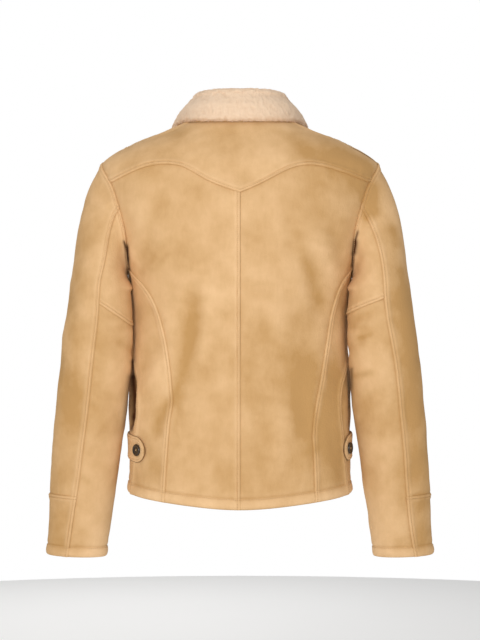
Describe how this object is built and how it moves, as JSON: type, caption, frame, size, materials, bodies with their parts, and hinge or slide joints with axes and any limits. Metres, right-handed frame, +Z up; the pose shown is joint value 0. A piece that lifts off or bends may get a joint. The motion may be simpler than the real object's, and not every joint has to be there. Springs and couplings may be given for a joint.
{
  "type": "suede shearling jacket",
  "caption": "Hip-length suede jacket with a turned-down wool collar, shaped back yoke, curved back seams, side tabs and a buttoned front, filled out as when worn and hollow inside",
  "frame": {"origin": "the middle of the neck, level with the inner ends of the shoulders", "axes": "+Z up, +X to the wearer's left, +Y to the back"},
  "size_m": [0.657, 0.2662, 0.7881],
  "materials": {
    "suede": "napped suede, matt",
    "wool": "short dense fleece",
    "dark_horn": "polished"
  },
  "bodies": {
    "root": {"back_yoke": "suede", "back_left": "suede", "back_right": "suede", "side_left": "suede", "side_right": "suede", "front_left": "suede", "front_right": "suede", "sleeve_left_top_upper": "suede", "sleeve_left_top_lower": "suede", "sleeve_left_under_upper": "suede", "sleeve_left_under_lower": "suede", "sleeve_right_top_upper": "suede", "sleeve_right_top_lower": "suede", "sleeve_right_under_upper": "suede", "sleeve_right_under_lower": "suede", "tab_left": "suede", "tab_right": "suede", "collar": "wool", "tab_button_left": "dark_horn", "tab_button_right": "dark_horn", "front_button_1": "dark_horn", "front_button_2": "dark_horn", "front_button_3": "dark_horn", "front_button_4": "dark_horn", "front_button_5": "dark_horn"}
  },
  "joints": []
}
